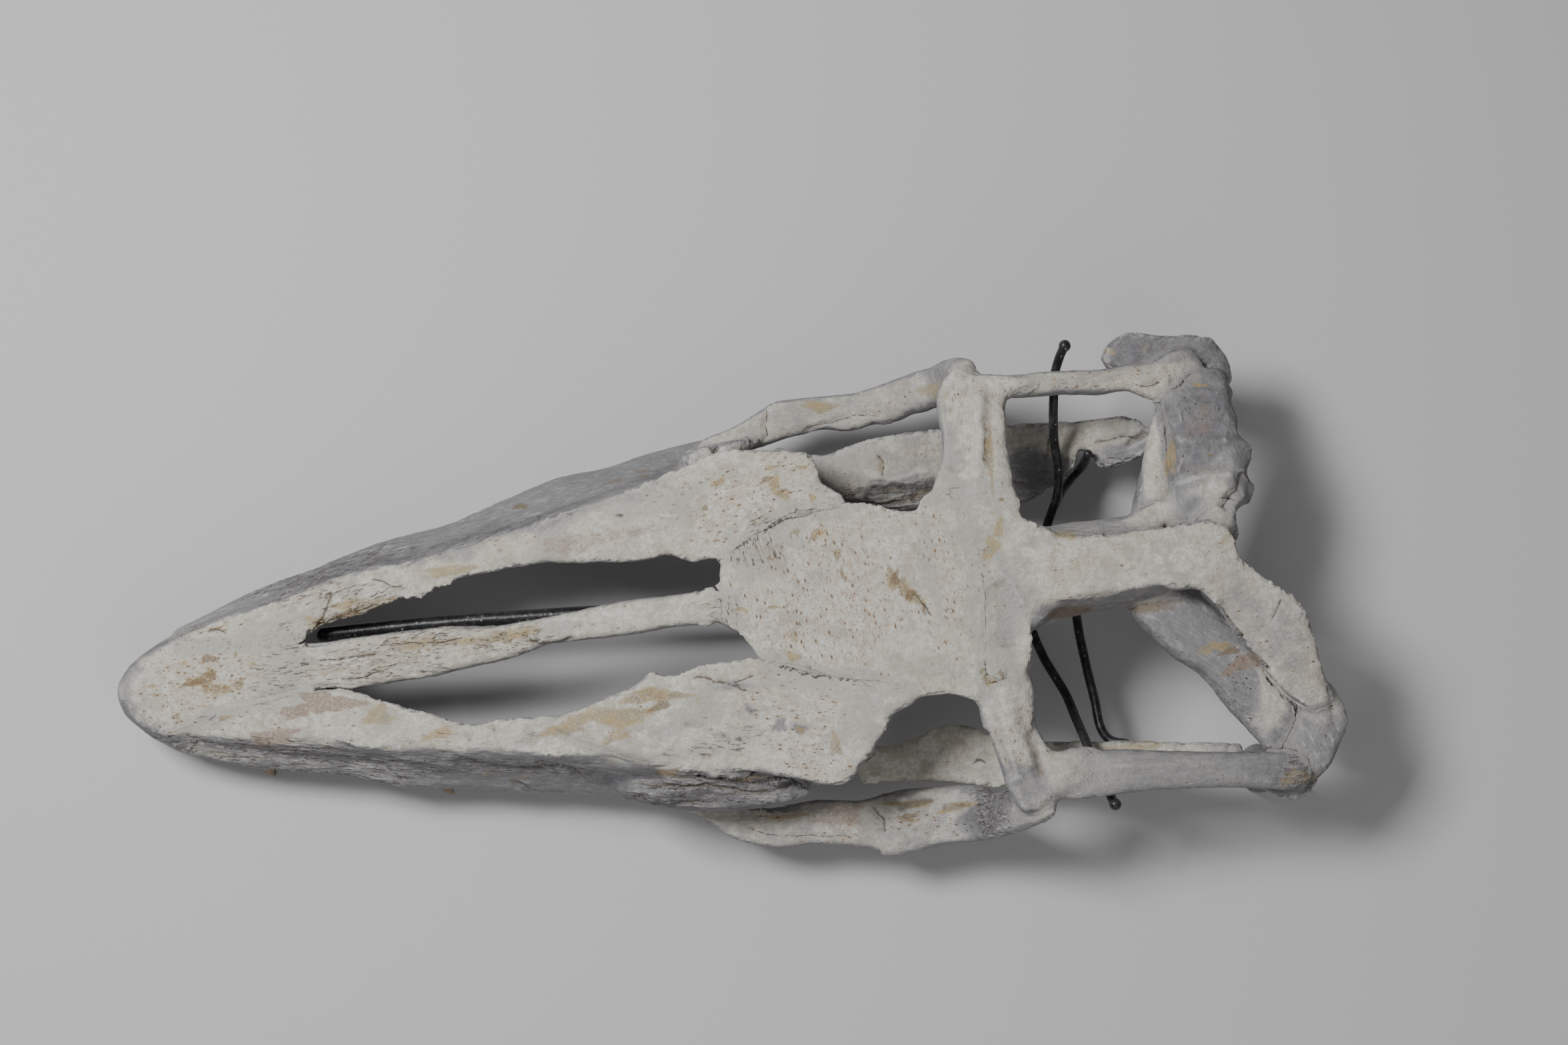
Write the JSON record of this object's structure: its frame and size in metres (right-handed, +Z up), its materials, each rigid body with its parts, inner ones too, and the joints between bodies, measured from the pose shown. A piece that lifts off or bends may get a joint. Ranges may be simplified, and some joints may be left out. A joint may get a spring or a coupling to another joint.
{
  "type": "fossil mosasaur skull",
  "caption": "Fossil marine reptile skull of separate roof, cheek, jaw and palate bones on a slim steel armature, resting on tooth tips and quadrate feet.",
  "frame": {"origin": "on the resting plane, under the middle of the skull's length and width", "axes": "+X runs back from the snout to the rear of the skull, +Y to the skull's right side, +Z up through the skull roof"},
  "size_m": [0.6586, 0.2639, 0.1269],
  "materials": {
    "fossil_bone": "matt, chalky mineralised bone",
    "fossil_bone_side": "matt, greyer mineralised bone",
    "blackened_steel": "satin black"
  },
  "bodies": {
    "root": {"premaxilla": "fossil_bone", "maxilla_right": "fossil_bone", "maxilla_left": "fossil_bone", "prefrontal_right": "fossil_bone", "prefrontal_left": "fossil_bone", "frontal": "fossil_bone", "parietal": "fossil_bone", "postorbitofrontal_right": "fossil_bone", "postorbitofrontal_left": "fossil_bone", "jugal_right": "fossil_bone", "jugal_left": "fossil_bone", "squamosal_right": "fossil_bone", "squamosal_left": "fossil_bone", "supratemporal_right": "fossil_bone", "supratemporal_left": "fossil_bone", "pterygoid_right": "fossil_bone", "pterygoid_left": "fossil_bone", "palatine_right": "fossil_bone", "palatine_left": "fossil_bone", "braincase": "fossil_bone_side", "quadrate_right": "fossil_bone_side", "quadrate_left": "fossil_bone_side", "steel_armature": "blackened_steel"}
  },
  "joints": []
}
